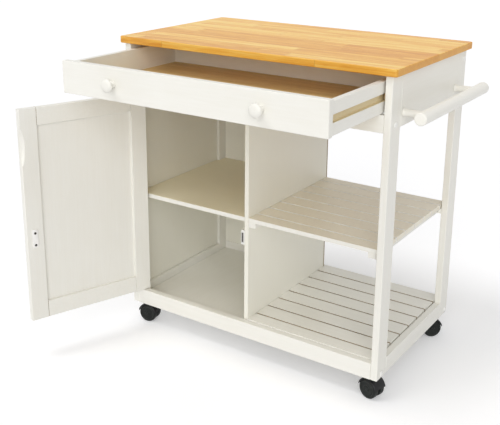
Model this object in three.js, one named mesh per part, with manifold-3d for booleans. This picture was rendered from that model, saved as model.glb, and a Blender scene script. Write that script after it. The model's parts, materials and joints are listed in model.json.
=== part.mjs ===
// Kitchen cart with a butcher-block top: millimetres, +Z up, +X to the right seen from the front, +Y to the back.
import * as THREE from 'three';
import { mergeVertices } from 'three/addons/utils/BufferGeometryUtils.js';
import Module from 'manifold-3d';

// Overall sizes, measured over the posts and up to the worktop.
const bodyWidth = 810;
const bodyDepth = 472;
const counterHeight = 876;
const topThickness = 19;
const sideOverhang = 13;
const frontOverhang = 9;
const topCornerRadius = 7;
const topEase = 1.5;
const casterHeight = 70;

// Frame boards.
const board = 19;
const postWidth = 54;
const railHeight = 46;
const apronHeight = 130;
const drawerRailHeight = 44;
const thinBoard = 12.7;
const panelThickness = 6;
const sidePanelInset = 4;
const fitGap = 0.3;

// Cabinet, left bay.
const leftBayWidth = 370;
const floorBelowRail = 24.6;
const dividerSetback = 2;
const shelfTop = 414;
const shelfSetback = 29.5;
const backPanelInset = 13;

// Slatted racks, right bay.
const slatPitch = 58.5;
const slatGap = 4.5;
const slatThickness = 12;
const slatEndGap = 3;
const battenWidth = 22;
const battenHeight = 15;
const midRackTop = 418;
const lowerRackRise = 2;
const midBattenInset = 11;

// Door on centre pins.
const doorSideGap = 3.5;
const doorOverlap = 4.5;
const doorEndGap = 2;
const doorTopGap = 1.5;
const doorMember = 48;
const doorPanelFace = 6.5;
const grooveDepth = 8;
const pivotFromEdge = 14.5;
const pivotRadius = 4;
const pivotReach = 10;
const pivotSink = 24;
const openAngle = 110.5;
const pullHeight = 617;
const pullLength = 104;
const pullRadius = 12;
const strikeWidth = 17;
const strikeHeight = 52;
const strikeThickness = 1.6;
const strikeFromEdge = 23;
const catchHeight = 356.5;
const catchSize = [13, 34, 43];

// Drawer.
const drawerOpen = 262;
const drawerFrontHeight = 84;
const drawerTopGap = 8;
const drawerSideGap = 2.5;
const drawerLength = 425;
const drawerSide = 15;
const drawerSideInset = 5;
const drawerSideHeight = 76;
const drawerBack = 12;
const drawerBottomRise = 11;
const hardboard = 4;
const trayGroove = 5;
const runnerGroove = 8.5;
const runnerWidth = 12;
const runnerHeight = 16;
const runnerPlay = 1.7;
const runnerCentre = 805;
const knobSpread = 215;
const knobCentre = 807;
const knobReach = 28;
const knobHead = 17;
const knobNeck = 7;

// Towel bar.
const barRadius = 16;
const barOut = 61;
const barCentre = 760;
const barFrontInset = 24;
const barBackInset = 20;
const armRadius = 9.5;
const armInset = 70;

// Casters.
const casterInset = 42;
const casterTrail = 12;
const wheelRadius = 27;
const wheelWidth = 17;
const webThickness = 6;
const wheelSideGap = 0.5;
const hoodGap = 1.2;
const hoodThickness = 2.6;
const axleRadius = 3;
const bossRadius = 13;
const stemRadius = 4;
const stemLength = 8;
const blockSize = 40;

// Heights and edges that follow from the sizes above.
const postFoot = casterHeight;
const postHead = counterHeight - topThickness;
const railTop = postFoot + railHeight;
const apronFoot = postHead - apronHeight;
const innerRight = bodyWidth - board;
const innerBack = bodyDepth - board;
const sideStart = postWidth;
const sideEnd = bodyDepth - postWidth;
const drawerFoot = postHead - drawerTopGap - drawerFrontHeight;
const drawerRailTop = drawerFoot - 1.5;
const drawerRailFoot = drawerRailTop - drawerRailHeight;
const dividerLeft = board + leftBayWidth;
const dividerRight = dividerLeft + thinBoard;
const dividerFront = board + dividerSetback;
const floorTop = railTop - floorBelowRail;
const floorFoot = floorTop - thinBoard;
const doorLeft = board + doorSideGap;
const doorRight = dividerLeft + doorOverlap;
const doorFoot = railTop + doorEndGap;
const doorHead = drawerRailFoot - doorTopGap;
const pivotX = doorLeft + pivotFromEdge;
const pivotY = board / 2;
const pinFoot = doorFoot - pivotReach;
const pinHead = doorHead + pivotReach;

const colours = {
  paint: [0xf1ead9, 0.45, 0],
  worktop: [0xc98d4b, 0.5, 0],
  rawWood: [0xc9a877, 0.7, 0],
  hardboard: [0xa87e52, 0.75, 0],
  plastic: [0x1d1d1f, 0.4, 0],
  tyre: [0x2a2a2c, 0.6, 0],
  steel: [0xb8bbbd, 0.3, 1],
};

const wasm = await Module();
wasm.setup();

// A closed geometry as a solid that can be joined and cut.
function solid(geometry) {
  const bare = geometry.clone();
  bare.deleteAttribute('normal');
  bare.deleteAttribute('uv');
  const merged = mergeVertices(bare, 1e-4);
  return new wasm.Manifold(new wasm.Mesh({
    numProp: 3,
    vertProperties: new Float32Array(merged.attributes.position.array),
    triVerts: new Uint32Array(merged.index.array),
  }));
}

// A solid back as a geometry with flat normals.
function geometryOf(body) {
  const mesh = body.getMesh();
  const indexed = new THREE.BufferGeometry();
  indexed.setAttribute('position', new THREE.BufferAttribute(new Float32Array(mesh.vertProperties), 3));
  indexed.setIndex(new THREE.BufferAttribute(new Uint32Array(mesh.triVerts), 1));
  const flat = indexed.toNonIndexed();
  flat.computeVertexNormals();
  return flat;
}

// Box between two corners.
function block(x0, x1, y0, y1, z0, z1) {
  const box = new THREE.BoxGeometry(x1 - x0, y1 - y0, z1 - z0);
  return box.translate((x0 + x1) / 2, (y0 + y1) / 2, (z0 + z1) / 2);
}

function rodZ(radius, x, y, z0, z1, sides = 24) {
  const rod = new THREE.CylinderGeometry(radius, radius, z1 - z0, sides);
  return rod.rotateX(Math.PI / 2).translate(x, y, (z0 + z1) / 2);
}

function rodY(radius, x, z, y0, y1, sides = 32) {
  const rod = new THREE.CylinderGeometry(radius, radius, y1 - y0, sides);
  return rod.translate(x, (y0 + y1) / 2, z);
}

function rodX(radius, y, z, x0, x1, sides = 24) {
  const rod = new THREE.CylinderGeometry(radius, radius, x1 - x0, sides);
  return rod.rotateZ(Math.PI / 2).translate((x0 + x1) / 2, y, z);
}

function cut(geometry, ...tools) {
  let body = solid(geometry);
  for (const tool of tools) body = body.subtract(solid(tool));
  return geometryOf(body);
}

function add(parent, name, geometry, look) {
  const [color, roughness, metalness] = colours[look];
  const mesh = new THREE.Mesh(geometry, new THREE.MeshStandardMaterial({ color, roughness, metalness }));
  mesh.name = name;
  parent.add(mesh);
  return mesh;
}

const cart = new THREE.Group();

// Worktop: rounded rectangle with eased edges.
function worktop() {
  const x0 = -sideOverhang, x1 = bodyWidth + sideOverhang;
  const y0 = -frontOverhang, y1 = bodyDepth + frontOverhang;
  const r = topCornerRadius;
  const outline = new THREE.Shape();
  outline.moveTo(x0 + r, y0);
  outline.lineTo(x1 - r, y0);
  outline.absarc(x1 - r, y0 + r, r, -Math.PI / 2, 0, false);
  outline.lineTo(x1, y1 - r);
  outline.absarc(x1 - r, y1 - r, r, 0, Math.PI / 2, false);
  outline.lineTo(x0 + r, y1);
  outline.absarc(x0 + r, y1 - r, r, Math.PI / 2, Math.PI, false);
  outline.lineTo(x0, y0 + r);
  outline.absarc(x0 + r, y0 + r, r, Math.PI, Math.PI * 1.5, false);
  const slab = new THREE.ExtrudeGeometry(outline, {
    depth: topThickness - 2 * topEase,
    curveSegments: 5,
    bevelEnabled: true,
    bevelThickness: topEase,
    bevelSize: topEase,
    bevelOffset: -topEase,
    bevelSegments: 1,
  });
  return slab.translate(0, 0, postHead + topEase);
}
add(cart, 'top', worktop(), 'worktop');

// Two end frames: posts, aprons and lower rails.
const ends = [['left', 0, board], ['right', innerRight, bodyWidth]];
for (const [side, x0, x1] of ends) {
  add(cart, `post_front_${side}`, block(x0, x1, 0, postWidth, postFoot, postHead), 'paint');
  add(cart, `post_back_${side}`, block(x0, x1, sideEnd, bodyDepth, postFoot, postHead), 'paint');
  add(cart, `apron_${side}`, block(x0, x1, sideStart, sideEnd, apronFoot, postHead), 'paint');
  add(cart, `lower_rail_${side}`, block(x0, x1, sideStart, sideEnd, postFoot, railTop), 'paint');
}

// Long members between the end frames; the pivot holes take the door's pins.
const pinHole = pivotRadius + fitGap;
add(cart, 'apron_back', block(board, innerRight, innerBack, bodyDepth, apronFoot, postHead), 'paint');
add(cart, 'lower_rail_back', block(board, innerRight, innerBack, bodyDepth, postFoot, railTop), 'paint');
add(cart, 'lower_rail_front', cut(
  block(board, innerRight, 0, board, postFoot, railTop),
  rodZ(pinHole, pivotX, pivotY, pinFoot - fitGap, railTop + 1),
), 'paint');
add(cart, 'drawer_rail', cut(
  block(board, innerRight, 0, board, drawerRailFoot, drawerRailTop),
  rodZ(pinHole, pivotX, pivotY, drawerRailFoot - 1, pinHead + fitGap),
), 'paint');

// Corner blocks carry the cabinet floor and take the caster stems.
const casterSpots = [
  ['front_left', casterInset, casterInset, Math.PI * 1.06],
  ['front_right', bodyWidth - casterInset, casterInset, Math.PI * -0.08],
  ['back_left', casterInset, bodyDepth - casterInset, Math.PI * 0.7],
  ['back_right', bodyWidth - casterInset, bodyDepth - casterInset, Math.PI * 0.24],
];
for (const [spot, x, y] of casterSpots) {
  const x0 = x < bodyWidth / 2 ? board : innerRight - blockSize;
  const y0 = y < bodyDepth / 2 ? board : innerBack - blockSize;
  add(cart, `corner_block_${spot}`, cut(
    block(x0, x0 + blockSize, y0, y0 + blockSize, postFoot, floorFoot),
    rodZ(stemRadius + fitGap, x, y, postFoot - 1, floorFoot + 1, 16),
  ), 'paint');
}

// Cabinet: floor, divider, end panel, back panel and shelf.
add(cart, 'cabinet_floor', block(board, dividerLeft, board, innerBack, floorFoot, floorTop), 'paint');
const dividerHead = drawerRailTop - 6.5;
add(cart, 'divider', block(dividerLeft, dividerRight, dividerFront, innerBack, floorFoot, dividerHead), 'paint');
add(cart, 'side_panel',
  block(sidePanelInset, sidePanelInset + panelThickness, sideStart, sideEnd, railTop, apronFoot), 'paint');
add(cart, 'back_panel',
  block(board, dividerRight, innerBack, innerBack + panelThickness, railTop, apronFoot), 'paint');
const shelfFoot = shelfTop - thinBoard;
const shelfLeft = sidePanelInset + panelThickness + fitGap;
const postClear = board + fitGap;
add(cart, 'shelf', cut(
  block(shelfLeft, dividerLeft - fitGap, shelfSetback, innerBack - fitGap, shelfFoot, shelfTop),
  block(shelfLeft - 1, postClear, shelfSetback - 1, sideStart + fitGap, shelfFoot - 1, shelfTop + 1),
  block(shelfLeft - 1, postClear, sideEnd - fitGap, innerBack + 1, shelfFoot - 1, shelfTop + 1),
), 'paint');

// A rack: slats across two battens, joined into one piece; the gaps are even about the middle.
function rack(y0, y1, top, battenRight) {
  const x0 = dividerRight + fitGap;
  const x1 = innerRight - slatEndGap;
  const foot = top - slatThickness;
  const middle = bodyDepth / 2 + 3.5;
  const each = Math.floor((Math.min(middle - y0, y1 - middle) - 12) / slatPitch);
  let body = solid(block(x0, x0 + battenWidth, y0, y1, foot - battenHeight, foot));
  body = body.add(solid(block(battenRight - battenWidth, battenRight, y0, y1, foot - battenHeight, foot)));
  let start = y0;
  for (let i = -each; i <= each + 1; i++) {
    const end = i > each ? y1 : middle + i * slatPitch - slatGap / 2;
    body = body.add(solid(block(x0, x1, start, end, foot, top)));
    start = end + slatGap;
  }
  return geometryOf(body);
}
const rackBack = innerBack - 0.5;
const lowerRackTop = railTop + lowerRackRise;
add(cart, 'rack_middle', rack(dividerFront, rackBack, midRackTop, innerRight - midBattenInset), 'paint');
add(cart, 'rack_lower', rack(board + 0.5, rackBack, lowerRackTop, innerRight), 'paint');
const cleatTop = midRackTop - slatThickness;
const cleatLeft = innerRight - midBattenInset + 0.5;
const cleats = [['front', dividerFront, postWidth], ['back', sideEnd, rackBack]];
for (const [where, y0, y1] of cleats) {
  add(cart, `rack_cleat_${where}`, block(cleatLeft, innerRight, y0, y1, cleatTop - battenHeight, cleatTop), 'paint');
}

// Drawer runners on the end frames.
const runnerEnds = [['left', board, board + runnerWidth], ['right', innerRight - runnerWidth, innerRight]];
for (const [side, x0, x1] of runnerEnds) {
  add(cart, `runner_${side}`, block(x0, x1, board + 1, innerBack - 1,
    runnerCentre - runnerHeight / 2, runnerCentre + runnerHeight / 2), 'rawWood');
}

// Magnetic catch on the divider.
const catchFront = dividerFront + fitGap;
add(cart, 'door_catch', block(dividerLeft - catchSize[0], dividerLeft, catchFront, catchFront + catchSize[1],
  catchHeight - catchSize[2] / 2, catchHeight + catchSize[2] / 2), 'plastic');

// Towel bar: a dowel on two arms coped round it.
const barX = bodyWidth + barOut;
add(cart, 'towel_bar', rodY(barRadius, barX, barCentre, barFrontInset, bodyDepth - barBackInset, 40), 'paint');
for (const [where, y] of [['front', armInset], ['back', bodyDepth - armInset]]) {
  add(cart, `towel_arm_${where}`, cut(
    rodX(armRadius, y, barCentre, bodyWidth + fitGap, barX),
    rodY(barRadius + fitGap, barX, barCentre, y - 40, y + 40, 40),
  ), 'paint');
}

// Drawer, built shut and pulled out as one group.
const drawer = new THREE.Group();
drawer.position.y = -drawerOpen;
cart.add(drawer);
const boxLeft = board + drawerSideInset;
const boxRight = innerRight - drawerSideInset;
const boxFoot = drawerFoot + 2;
const boxBack = board + drawerLength;
const trayFoot = boxFoot + drawerBottomRise;
const trayTop = trayFoot + hardboard;
add(drawer, 'drawer_front', cut(
  block(board + drawerSideGap, innerRight - drawerSideGap, 0, board, drawerFoot, drawerFoot + drawerFrontHeight),
  block(boxLeft + drawerSide - trayGroove, boxRight - drawerSide + trayGroove,
    board - trayGroove, board + 1, trayFoot - fitGap, trayTop + fitGap),
), 'paint');
const drawerSides = [['left', boxLeft, 1], ['right', boxRight, -1]];
for (const [side, outer, turn] of drawerSides) {
  const span = (from, to) => (turn > 0 ? [outer + from, outer + to] : [outer - to, outer - from]);
  add(drawer, `drawer_side_${side}`, cut(
    block(...span(0, drawerSide), board, boxBack, boxFoot, boxFoot + drawerSideHeight),
    block(...span(-1, runnerGroove), board - 1, boxBack + 1,
      runnerCentre - runnerHeight / 2 - runnerPlay, runnerCentre + runnerHeight / 2 + fitGap),
    block(...span(drawerSide - trayGroove, drawerSide + 1), board - 1, boxBack + 1,
      trayFoot - fitGap, trayTop + fitGap),
  ), 'paint');
}
add(drawer, 'drawer_back', block(boxLeft + drawerSide, boxRight - drawerSide, boxBack - drawerBack, boxBack,
  trayTop + fitGap, boxFoot + drawerSideHeight), 'paint');
const trayEdge = drawerSide - trayGroove + fitGap;
add(drawer, 'drawer_bottom', block(boxLeft + trayEdge, boxRight - trayEdge, board - trayGroove + fitGap, boxBack,
  trayFoot, trayTop), 'hardboard');

// Mushroom knob, turned about its own axis, base at 0.
const knobProfile = [
  [0, 0], [knobNeck + 2, 0], [knobNeck + 0.6, 3], [knobNeck, 8], [knobNeck + 0.8, 12], [knobHead - 4, 15],
  [knobHead - 0.6, 17.5], [knobHead, 20.5], [knobHead - 0.8, 23.5], [knobHead - 4, 26.3], [knobHead - 9, 27.6],
  [0, knobReach],
].map(([r, h]) => new THREE.Vector2(r, h));
for (const [side, shift] of [['left', -knobSpread], ['right', knobSpread]]) {
  const knob = new THREE.LatheGeometry(knobProfile, 20);
  knob.rotateX(Math.PI).translate(bodyWidth / 2 + shift, -fitGap, knobCentre);
  add(drawer, `knob_${side}`, knob, 'paint');
}

// Door, built shut about its pivot and turned as one group.
const door = new THREE.Group();
door.position.set(pivotX, pivotY, 0);
door.rotation.z = -openAngle * Math.PI / 180;
cart.add(door);
function addToDoor(name, geometry, look) {
  add(door, name, geometry.translate(-pivotX, -pivotY, 0), look);
}
const panelBack = doorPanelFace + panelThickness;
const stileHinge = doorLeft + doorMember;
const stileFree = doorRight - doorMember;
const railGap = fitGap;
const pinBores = [
  rodZ(pinHole, pivotX, pivotY, doorFoot - 1, doorFoot + pivotSink + fitGap),
  rodZ(pinHole, pivotX, pivotY, doorHead - pivotSink - fitGap, doorHead + 1),
];
function grooveZ(x0, x1) {
  return block(x0, x1, doorPanelFace - fitGap, panelBack + fitGap, doorFoot + 30, doorHead - 30);
}
function grooveX(z0, z1) {
  return block(stileHinge - 1, stileFree + 1, doorPanelFace - fitGap, panelBack + fitGap, z0, z1);
}
addToDoor('door_stile_hinge', cut(
  block(doorLeft, stileHinge, 0, board, doorFoot, doorHead),
  grooveZ(stileHinge - grooveDepth, stileHinge + 1), ...pinBores,
), 'paint');

// Finger pull: a round-ended scoop along the inner corner of the free edge.
const scoopX = doorRight + 2;
const scoopY = board + 2;
const scoopHalf = pullLength / 2 - pullRadius;
const scoop = new THREE.CapsuleGeometry(pullRadius, 2 * scoopHalf, 6, 24);
scoop.rotateX(Math.PI / 2).translate(scoopX, scoopY, pullHeight);
addToDoor('door_stile_free', cut(
  block(stileFree, doorRight, 0, board, doorFoot, doorHead),
  grooveZ(stileFree - 1, stileFree + grooveDepth), scoop,
), 'paint');
addToDoor('door_rail_lower', cut(
  block(stileHinge + railGap, stileFree - railGap, 0, board, doorFoot, doorFoot + doorMember),
  grooveX(doorFoot + doorMember - grooveDepth, doorFoot + doorMember + 1),
), 'paint');
addToDoor('door_rail_upper', cut(
  block(stileHinge + railGap, stileFree - railGap, 0, board, doorHead - doorMember, doorHead),
  grooveX(doorHead - doorMember - 1, doorHead - doorMember + grooveDepth),
), 'paint');
const tongue = grooveDepth - 1;
addToDoor('door_panel', block(stileHinge - tongue, stileFree + tongue, doorPanelFace, panelBack,
  doorFoot + doorMember - tongue, doorHead - doorMember + tongue), 'paint');
const strikeCentre = doorRight - strikeFromEdge;
addToDoor('strike_plate', block(strikeCentre - strikeWidth / 2, strikeCentre + strikeWidth / 2,
  board + 0.2, board + 0.2 + strikeThickness,
  catchHeight + 2 - strikeHeight / 2, catchHeight + 2 + strikeHeight / 2), 'steel');
addToDoor('pivot_pin_lower', rodZ(pivotRadius, pivotX, pivotY, pinFoot, doorFoot + pivotSink), 'steel');
addToDoor('pivot_pin_upper', rodZ(pivotRadius, pivotX, pivotY, doorHead - pivotSink, pinHead), 'steel');

// Twin-wheel casters: swivelling hood with stem, web and axle, and a wheel on each side.
const wheelInner = webThickness / 2 + wheelSideGap;
const wheelOuter = wheelInner + wheelWidth;
const axleHalf = wheelOuter - 6;
const wheelProfile = [
  [0, axleHalf + fitGap], [axleRadius + fitGap, axleHalf + fitGap], [axleRadius + fitGap, wheelInner],
  [wheelRadius - 2, wheelInner], [wheelRadius, wheelInner + 2], [wheelRadius, wheelOuter - 3],
  [wheelRadius - 3, wheelOuter], [wheelRadius - 7, wheelOuter], [wheelRadius - 8.5, wheelOuter - 2],
  [6, wheelOuter - 2], [4.5, wheelOuter - 0.5], [0, wheelOuter - 0.5],
].map(([r, h]) => new THREE.Vector2(r, h));

function casterHousing() {
  const axleX = casterTrail;
  const hoodHalf = wheelOuter + 1;
  const reach = wheelRadius + hoodGap;
  const hoodRadius = reach + hoodThickness;
  let body = solid(rodY(hoodRadius, axleX, wheelRadius, -hoodHalf, hoodHalf, 40));
  body = body.subtract(solid(block(-60, 90, -60, 60, -30, wheelRadius + 7)));
  body = body.add(solid(rodZ(bossRadius, 0, 0, wheelRadius + 7, postFoot - fitGap, 32)));
  for (const turn of [-1, 1]) {
    const inner = turn * webThickness / 2;
    const outer = turn * 60;
    body = body.subtract(solid(rodY(reach, axleX, wheelRadius, Math.min(inner, outer), Math.max(inner, outer), 40)));
  }
  body = body.add(solid(rodY(12, axleX, wheelRadius, -webThickness / 2, webThickness / 2, 24)));
  body = body.add(solid(block(axleX - 12, axleX + 12, -webThickness / 2, webThickness / 2, wheelRadius, wheelRadius + 12)));
  body = body.add(solid(rodY(axleRadius, axleX, wheelRadius, -axleHalf, axleHalf, 16)));
  body = body.add(solid(rodZ(stemRadius, 0, 0, postFoot - 3, postFoot + stemLength, 16)));
  return geometryOf(body);
}
for (const [spot, x, y, heading] of casterSpots) {
  const caster = new THREE.Group();
  caster.position.set(x, y, 0);
  caster.rotation.z = heading;
  cart.add(caster);
  add(caster, `caster_${spot}`, casterHousing(), 'plastic');
  for (const [letter, turn] of [['a', 0], ['b', Math.PI]]) {
    const wheel = new THREE.LatheGeometry(wheelProfile, 24);
    wheel.rotateZ(turn).translate(casterTrail, 0, wheelRadius);
    add(caster, `wheel_${spot}_${letter}`, wheel, 'tyre');
  }
}

// Origin under the middle of everything, on the floor.
cart.updateMatrixWorld(true);
const bounds = new THREE.Box3().setFromObject(cart, true);
cart.position.set(-(bounds.min.x + bounds.max.x) / 2, -(bounds.min.y + bounds.max.y) / 2, -bounds.min.z);
const part = new THREE.Group();
part.add(cart);
export default part;
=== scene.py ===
import bmesh
import bpy
import json
import math
import numpy as np
from mathutils import Matrix, Vector


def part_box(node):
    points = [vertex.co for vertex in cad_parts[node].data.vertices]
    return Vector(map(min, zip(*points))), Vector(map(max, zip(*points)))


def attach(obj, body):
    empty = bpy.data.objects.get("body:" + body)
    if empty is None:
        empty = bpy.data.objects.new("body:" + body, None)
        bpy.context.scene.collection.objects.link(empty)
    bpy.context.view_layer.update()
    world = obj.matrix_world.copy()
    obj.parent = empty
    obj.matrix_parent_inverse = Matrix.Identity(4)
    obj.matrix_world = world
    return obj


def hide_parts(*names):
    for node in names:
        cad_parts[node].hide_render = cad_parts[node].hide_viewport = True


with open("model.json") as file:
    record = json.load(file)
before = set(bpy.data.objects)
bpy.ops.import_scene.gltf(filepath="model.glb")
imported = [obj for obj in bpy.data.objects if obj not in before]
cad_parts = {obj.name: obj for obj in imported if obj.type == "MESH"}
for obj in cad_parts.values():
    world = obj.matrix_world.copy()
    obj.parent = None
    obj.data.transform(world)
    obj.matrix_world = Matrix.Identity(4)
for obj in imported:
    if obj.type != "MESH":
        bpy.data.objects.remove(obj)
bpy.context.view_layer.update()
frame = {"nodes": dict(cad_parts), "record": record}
behaviour = frame["record"]["behaviour"]
bodyOf = {node: body for body, nodes in behaviour["bodies"].items() for node in nodes}
jointOf = {joint["name"]: joint for joint in behaviour["joints"]}
print("frame loaded:", len(bodyOf), "nodes")

def put(tree, kind, inputs=None, **settings):
    # a shader node whose inputs are plain values or other nodes' sockets
    node = tree.nodes.new(kind)
    for key, value in settings.items():
        setattr(node, key, value)
    for key, value in (inputs or {}).items():
        if isinstance(value, bpy.types.NodeSocket):
            tree.links.new(value, node.inputs[key])
        else:
            node.inputs[key].default_value = value
    return node

def calc(tree, operation, a, b=0.0, c=0.0):
    return put(tree, "ShaderNodeMath", {0: a, 1: b, 2: c}, operation=operation).outputs[0]

def weighted(tree, values, weights):
    # the sum of each value times its weight
    total = 0.0
    for name, weight in weights.items():
        total = calc(tree, "MULTIPLY_ADD", values[name], weight, total)
    return total

def rescaled(tree, value, fromRange, toRange):
    inputs = {"Value": value, "From Min": fromRange[0], "From Max": fromRange[1],
              "To Min": toRange[0], "To Max": toRange[1]}
    return put(tree, "ShaderNodeMapRange", inputs).outputs[0]

def ramp(tree, factor, stops):
    node = put(tree, "ShaderNodeValToRGB", {"Fac": factor})
    elements = node.color_ramp.elements
    while len(elements) < len(stops):
        elements.new(0.5)
    for element, (position, colour) in zip(elements, stops):
        element.position = position
        element.color = (*colour, 1.0)
    return node.outputs["Color"]

def blendColour(tree, factor, first, second, kind="MIX"):
    node = put(tree, "ShaderNodeMix", data_type="RGBA", blend_type=kind)
    for index, value in ((0, factor), (6, first), (7, second)):  # the mix node's factor and its two colours
        if isinstance(value, bpy.types.NodeSocket):
            tree.links.new(value, node.inputs[index])
        else:
            node.inputs[index].default_value = value if index == 0 else (*value, 1.0)
    return node.outputs[2]

def noise(tree, vector, look, axis="X"):
    # a stretch is the scale along the axis, then along the next two
    if "stretch" in look:
        scale = np.roll(look["stretch"], "XYZ".index(axis)).tolist()
        vector = put(tree, "ShaderNodeMapping", {"Vector": vector, "Scale": scale}).outputs[0]
    inputs = {"Vector": vector, "Scale": look["scale"], "Detail": look["detail"],
              "Roughness": look["roughness"], "Distortion": look.get("distortion", 0.0)}
    return put(tree, "ShaderNodeTexNoise", inputs).outputs["Fac"]

def noises(tree, vector, looks, axis="X"):
    return {name: noise(tree, vector, look, axis) for name, look in looks.items()}

def bumps(tree, heights, layers):
    # layers of name: (distance in metres, strength), coarse first
    normal = None
    for name, (distance, strength) in layers.items():
        inputs = {"Height": heights[name], "Distance": distance, "Strength": strength}
        if normal is not None:
            inputs["Normal"] = normal
        normal = put(tree, "ShaderNodeBump", inputs).outputs[0]
    return normal

def newMaterial(name):
    material = bpy.data.materials.new(name)
    material.use_nodes = True
    tree = material.node_tree
    position = put(tree, "ShaderNodeTexCoord").outputs["Object"]
    return material, tree, position

noiseMiddle = (0.25, 0.75)  # where nearly all of a noise lies

def finishSurface(tree, colour, roughness, roughnessRange, normal, settings):
    surface = tree.nodes["Principled BSDF"]
    tree.links.new(colour, surface.inputs["Base Color"])
    tree.links.new(rescaled(tree, roughness, noiseMiddle, roughnessRange), surface.inputs["Roughness"])
    tree.links.new(normal, surface.inputs["Normal"])
    for key, value in settings.items():
        surface.inputs[key].default_value = value

def plainMaterial(name, kind, look, axis="X"):
    # mixed noises choose a colour between deep and light, one noise sets the roughness and some raise bumps
    material, tree, position = newMaterial(name)
    values = noises(tree, position, {**kind["noises"], **look.get("noises", {})}, axis)
    low, high = kind["stops"]
    colour = ramp(tree, weighted(tree, values, kind["mix"]), [(low, look["deep"]), (high, look["light"])])
    normal = bumps(tree, values, {**kind["bumps"], **look.get("bumps", {})})
    settings = {**kind.get("settings", {}), **look.get("settings", {})}
    finishSurface(tree, colour, values[kind["dulledBy"]], look["roughness"], normal, settings)
    return material

# satin paint with the wood's grain just showing through
paintKind = {
    "noises": {
        "grain": {"stretch": (2.5, 42, 42), "scale": 3.2, "detail": 5, "roughness": 0.62, "distortion": 0.6},
        "pores": {"stretch": (10, 168, 168), "scale": 4.0, "detail": 2, "roughness": 0.5},
        "cloud": {"scale": 4.5, "detail": 3, "roughness": 0.55},
        "stipple": {"scale": 1100, "detail": 2, "roughness": 0.5},
    },
    "mix": {"cloud": 0.55, "grain": 0.45},
    "stops": (0.3, 0.62),
    "dulledBy": "cloud",
    "bumps": {"grain": (0.00002, 0.55), "pores": (0.000008, 0.35), "stipple": (0.00003, 0.5)},
}
# a bump is (distance in metres, strength), and a look's own bumps stand in for its kind's
paints = {
    "paint": {
        "light": (0.875, 0.862, 0.805),
        "deep": (0.835, 0.815, 0.745),
        "roughness": (0.3, 0.46),
        "bumps": {"grain": (0.00012, 0.55), "pores": (0.000048, 0.35)},
    },
    "panelPaint": {
        "light": (0.89, 0.872, 0.785),
        "deep": (0.87, 0.85, 0.755),
        "roughness": (0.36, 0.48),
    },
    # painted shade: a tan paint for the shelf's top, standing for the warm shade under the worktop
    "shelfShadePaint": {
        "light": (0.93, 0.872, 0.67),
        "deep": (0.91, 0.85, 0.64),
        "roughness": (0.42, 0.52),
    },
    # painted shade: a tan paint for the middle rack's tops, standing for the shade under the drawer and
    # worktop
    "rackShadePaint": {
        "light": (0.865, 0.82, 0.70),
        "deep": (0.84, 0.79, 0.665),
        "roughness": (0.4, 0.5),
        "bumps": {"grain": (0.00003, 0.55), "pores": (0.000012, 0.35)},
    },
}

def paintMaterial(name, axis):
    return plainMaterial(name + axis, paintKind, paints[name], axis)

bareWoodKind = {
    "noises": {
        "grain": {"stretch": (2, 40, 40), "scale": 4.0, "detail": 5, "roughness": 0.6, "distortion": 0.9},
        "fibre": {"stretch": (16, 320, 320), "scale": 3.0, "detail": 2, "roughness": 0.5},
    },
    "mix": {"fibre": 0.3, "grain": 0.7},
    "stops": (0.3, 0.7),
    "dulledBy": "fibre",
    "bumps": {"grain": (0.0003, 0.4), "fibre": (0.0001, 0.5)},
}
bareWoods = {
    "grooveWood": {"light": (0.80, 0.70, 0.46), "deep": (0.68, 0.55, 0.32), "roughness": (0.55, 0.75)},
    "runnerWood": {"light": (0.62, 0.47, 0.27), "deep": (0.42, 0.29, 0.14), "roughness": (0.55, 0.75)},
    # painted shade: a dark wood colour for the shadow lines at joints and in the gaps between slats
    "gapShade": {"light": (0.40, 0.31, 0.19), "deep": (0.24, 0.17, 0.09), "roughness": (0.55, 0.75)},
}

# smooth face of pressed fibre with a faint printed streak
hardboardKind = {
    "noises": {
        "mottle": {"scale": 60, "detail": 5, "roughness": 0.65},
        "streak": {"stretch": (2.2, 30, 30), "scale": 3.0, "detail": 4, "roughness": 0.6, "distortion": 0.7},
        "flecks": {"scale": 620, "detail": 2, "roughness": 0.5},
    },
    "mix": {"flecks": 0.2, "mottle": 0.3, "streak": 0.5},
    "stops": (0.34, 0.64),
    "dulledBy": "mottle",
    "bumps": {"flecks": (0.00006, 0.5)},
}
hardboardLook = {"light": (0.82, 0.63, 0.30), "deep": (0.60, 0.43, 0.165), "roughness": (0.45, 0.62)}

# moulded plastic with a fine matt grain
plasticKind = {
    "noises": {
        "cloud": {"scale": 30, "detail": 3, "roughness": 0.5},
        "grain": {"scale": 1500, "detail": 2, "roughness": 0.5},
    },
    "mix": {"cloud": 1.0},
    "stops": (0.3, 0.7),
    "dulledBy": "cloud",
    "bumps": {"grain": (0.00005, 0.4)},
}
plastics = {
    "hoodPlastic": {
        "light": (0.010, 0.010, 0.011),
        "deep": (0.005, 0.005, 0.006),
        "roughness": (0.3, 0.42),
        "settings": {"Specular IOR Level": 0.3},
    },
    "wheelPlastic": {
        "light": (0.015, 0.018, 0.016),
        "deep": (0.007, 0.009, 0.008),
        "roughness": (0.36, 0.5),
        "noises": {"grain": {"scale": 1200, "detail": 2, "roughness": 0.5}},
        "settings": {"Specular IOR Level": 0.25},
    },
    # white plastic for the catch and bolt caps, also used as the painted highlight on the middle rack's slat
    # sides
    "whitePlasticAndHighlight": {
        "light": (0.88, 0.875, 0.845),
        "deep": (0.84, 0.835, 0.80),
        "roughness": (0.25, 0.35),
    },
}

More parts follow.
